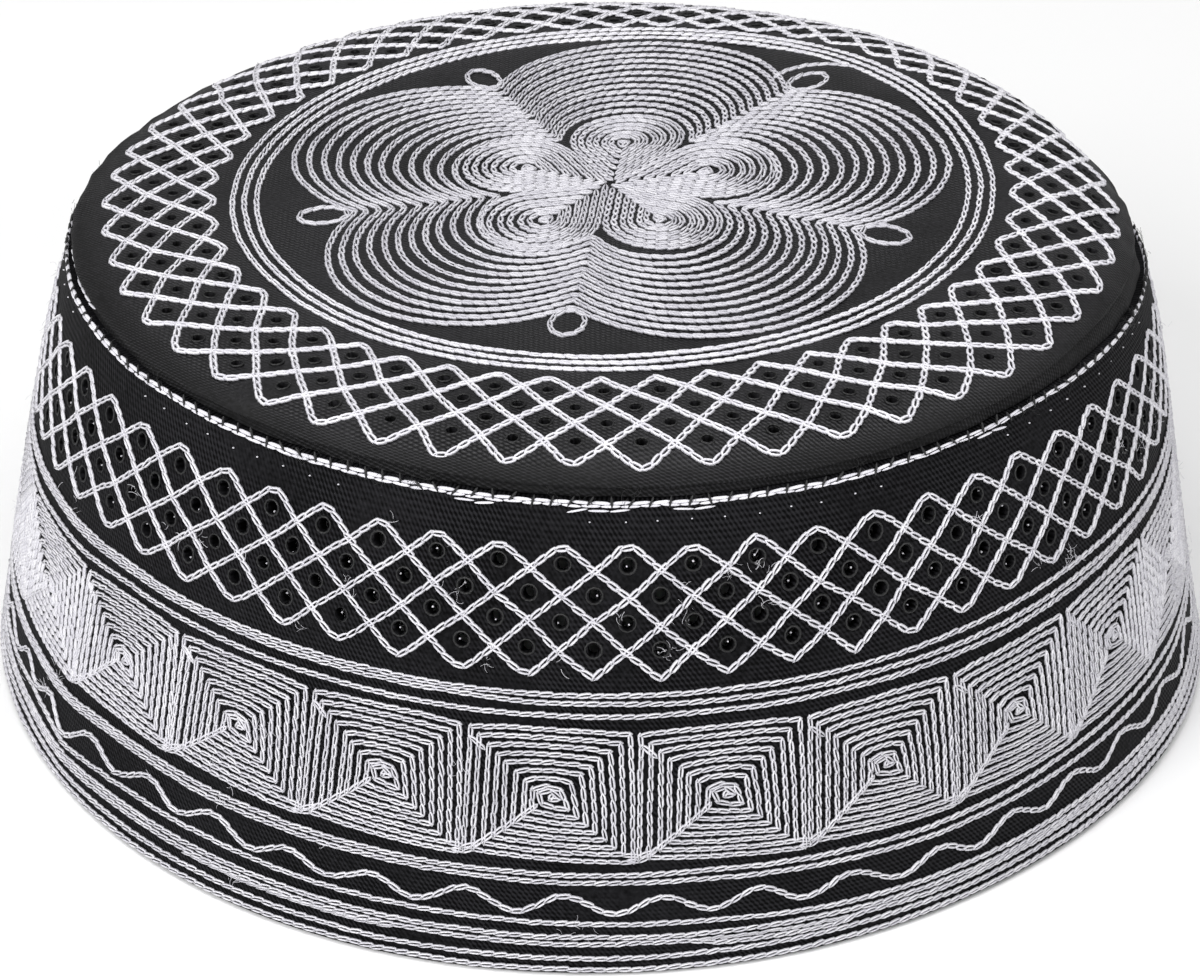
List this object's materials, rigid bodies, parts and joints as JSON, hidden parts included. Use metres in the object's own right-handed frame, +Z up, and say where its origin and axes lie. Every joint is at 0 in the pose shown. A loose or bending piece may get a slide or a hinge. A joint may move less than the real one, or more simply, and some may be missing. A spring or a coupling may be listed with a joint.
{
  "type": "kufi",
  "caption": "Round brimless cloth cap: a leaning, eyeletted side band sewn to a flat crown with a rolled edge, embroidered all over.",
  "frame": {"origin": "middle of the outline at the plane of the rim, where the cap stands", "axes": "+Z up through the crown, -Y towards the front that the picture shows, +X to the right as the picture shows it"},
  "size_m": [0.1886, 0.1916, 0.0775],
  "materials": {
    "band_cloth": "black twill with a faint sheen",
    "crown_cloth": "black satin twill, padded, with a soft sheen",
    "white_thread": "white glossy chain-stitch embroidery thread",
    "black_thread": "black sewing thread of the seam and of the eyelet rings"
  },
  "bodies": {
    "root": {"side_band": "band_cloth", "crown_panel": "crown_cloth"}
  },
  "joints": []
}
